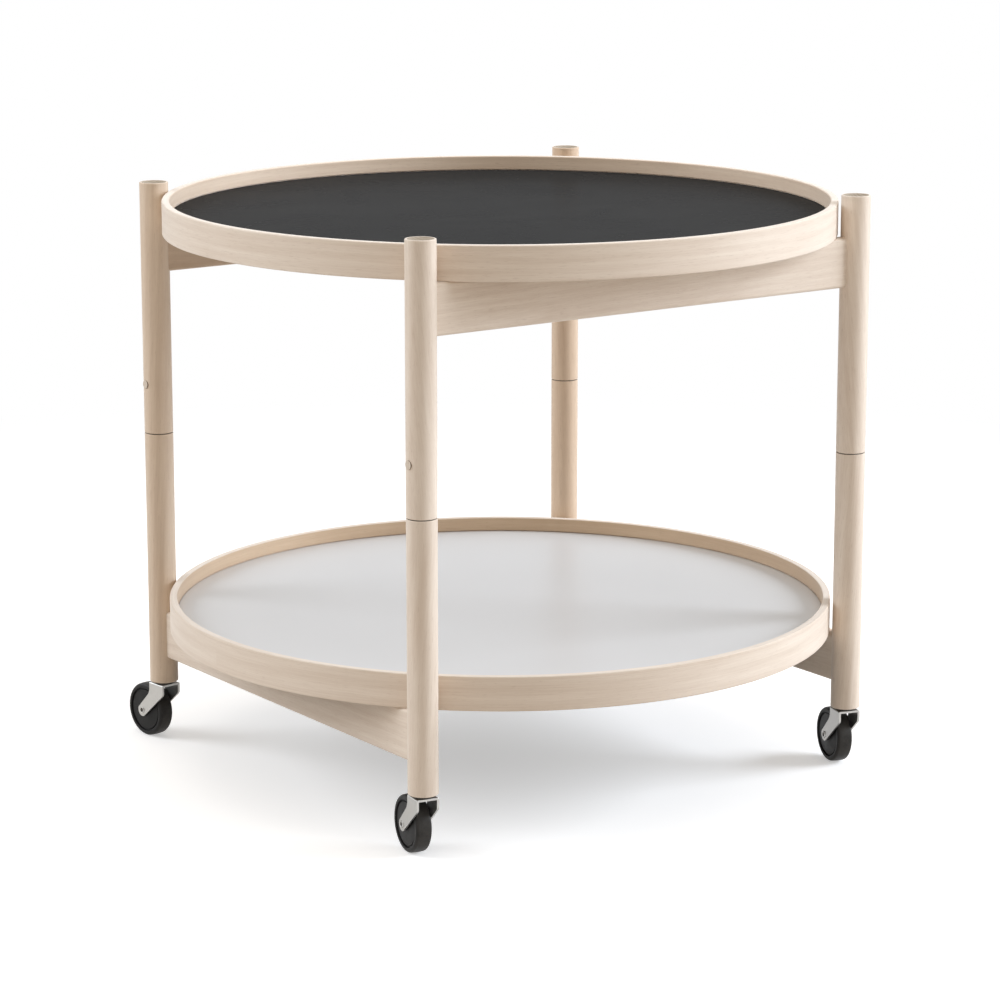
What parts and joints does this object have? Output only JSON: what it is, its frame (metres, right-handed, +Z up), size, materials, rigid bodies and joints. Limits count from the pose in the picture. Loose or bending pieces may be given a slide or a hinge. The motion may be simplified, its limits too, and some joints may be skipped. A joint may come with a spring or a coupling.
{
  "type": "tray table",
  "caption": "Low round serving table: loose reversible trays with wooden rims rest on the rails of a folding frame with split round legs on swivel casters.",
  "frame": {"origin": "on the floor, under the centre of the four legs and the trays", "axes": "+Z up; +X along the upper rails; +Y along the lower rails, from front to back"},
  "size_m": [0.6, 0.6, 0.522],
  "materials": {
    "beech": "white-oiled, matt",
    "black_laminate": "matt",
    "white_laminate": "satin",
    "core_board": "raw",
    "zinc_steel": "zinc plated, satin",
    "pin_steel": "turned",
    "washer_fibre": "matt",
    "black_nylon": "moulded, satin",
    "bush_acetal": "moulded"
  },
  "bodies": {
    "lower_frame_left": {"lower_leg_front_left": "beech", "lower_leg_back_left": "beech", "lower_rail_left": "beech", "lower_rail_left_dowels": "beech", "pivot_pins_left": "pin_steel", "pivot_washers_left": "washer_fibre", "caster_socket_front_left": "pin_steel", "caster_socket_back_left": "pin_steel"},
    "upper_frame_front": {"upper_leg_front_left": "beech", "upper_leg_front_right": "beech", "upper_rail_front": "beech", "upper_rail_front_dowels": "beech", "retaining_pegs_front": "beech"},
    "upper_frame_back": {"upper_leg_back_left": "beech", "upper_leg_back_right": "beech", "upper_rail_back": "beech", "upper_rail_back_dowels": "beech", "retaining_pegs_back": "beech"},
    "lower_frame_right": {"lower_leg_front_right": "beech", "lower_leg_back_right": "beech", "lower_rail_right": "beech", "lower_rail_right_dowels": "beech", "pivot_pins_right": "pin_steel", "pivot_washers_right": "washer_fibre", "caster_socket_front_right": "pin_steel", "caster_socket_back_right": "pin_steel"},
    "upper_tray": {"upper_tray_rim": "beech", "upper_tray_board": "core_board", "upper_tray_black_laminate": "black_laminate", "upper_tray_white_laminate": "white_laminate"},
    "lower_tray": {"lower_tray_rim": "beech", "lower_tray_board": "core_board", "lower_tray_black_laminate": "black_laminate", "lower_tray_white_laminate": "white_laminate"},
    "caster_front_left": {"caster_fork_front_left": "zinc_steel", "caster_stem_front_left": "pin_steel", "caster_axle_front_left": "zinc_steel"},
    "wheel_front_left": {"caster_wheel_front_left": "black_nylon", "caster_bush_front_left": "bush_acetal"},
    "caster_front_right": {"caster_fork_front_right": "zinc_steel", "caster_stem_front_right": "pin_steel", "caster_axle_front_right": "zinc_steel"},
    "wheel_front_right": {"caster_wheel_front_right": "black_nylon", "caster_bush_front_right": "bush_acetal"},
    "caster_back_left": {"caster_fork_back_left": "zinc_steel", "caster_stem_back_left": "pin_steel", "caster_axle_back_left": "zinc_steel"},
    "wheel_back_left": {"caster_wheel_back_left": "black_nylon", "caster_bush_back_left": "bush_acetal"},
    "caster_back_right": {"caster_fork_back_right": "zinc_steel", "caster_stem_back_right": "pin_steel", "caster_axle_back_right": "zinc_steel"},
    "wheel_back_right": {"caster_wheel_back_right": "black_nylon", "caster_bush_back_right": "bush_acetal"}
  },
  "joints": [
    {"name": "frame_fold", "type": "hinge", "parent": "lower_frame_left", "child": "upper_frame_front", "pos_m": [-0.23, -0.216, 0.292], "axis": [0, 0, 1], "range_deg": [-0.4, 0.4]},
    {"name": "back_pivot", "type": "hinge", "parent": "lower_frame_left", "child": "upper_frame_back", "pos_m": [-0.23, 0.216, 0.292], "axis": [0, 0, 1], "range_deg": [-0.4, 0.4]},
    {"name": "right_pivot", "type": "hinge", "parent": "upper_frame_front", "child": "lower_frame_right", "pos_m": [0.23, -0.216, 0.292], "axis": [0, 0, 1], "range_deg": [-0.4, 0.4]},
    {"name": "upper_tray_lift", "type": "slide", "parent": "lower_frame_left", "child": "upper_tray", "axis": [0, 0, 1], "range_m": [0, 0.25]},
    {"name": "lower_tray_lift", "type": "slide", "parent": "lower_frame_left", "child": "lower_tray", "axis": [0, 0, 1], "range_m": [0, 0.28]},
    {"name": "swivel_front_left", "type": "hinge", "parent": "lower_frame_left", "child": "caster_front_left", "pos_m": [-0.23, -0.216, 0.0565], "axis": [0, 0, 1], "continuous": true},
    {"name": "roll_front_left", "type": "hinge", "parent": "caster_front_left", "child": "wheel_front_left", "pos_m": [-0.22627, -0.19483, 0.025], "axis": [-0.9848, 0.1736, 0], "continuous": true},
    {"name": "swivel_front_right", "type": "hinge", "parent": "lower_frame_right", "child": "caster_front_right", "pos_m": [0.23, -0.216, 0.0565], "axis": [0, 0, 1], "continuous": true},
    {"name": "roll_front_right", "type": "hinge", "parent": "caster_front_right", "child": "wheel_front_right", "pos_m": [0.23593, -0.19533, 0.025], "axis": [-0.9613, 0.2756, 0], "continuous": true},
    {"name": "swivel_back_left", "type": "hinge", "parent": "lower_frame_left", "child": "caster_back_left", "pos_m": [-0.23, 0.216, 0.0565], "axis": [0, 0, 1], "continuous": true},
    {"name": "roll_back_left", "type": "hinge", "parent": "caster_back_left", "child": "wheel_back_left", "pos_m": [-0.23299, 0.23729, 0.025], "axis": [-0.9903, -0.1392, 0], "continuous": true},
    {"name": "swivel_back_right", "type": "hinge", "parent": "lower_frame_right", "child": "caster_back_right", "pos_m": [0.23, 0.216, 0.0565], "axis": [0, 0, 1], "continuous": true},
    {"name": "roll_back_right", "type": "hinge", "parent": "caster_back_right", "child": "wheel_back_right", "pos_m": [0.23187, 0.23742, 0.025], "axis": [-0.9962, 0.0872, 0], "continuous": true}
  ],
  "couplings": [
    {"joint": "back_pivot", "follows": "frame_fold", "ratio": 1},
    {"joint": "right_pivot", "follows": "frame_fold", "ratio": -1}
  ]
}
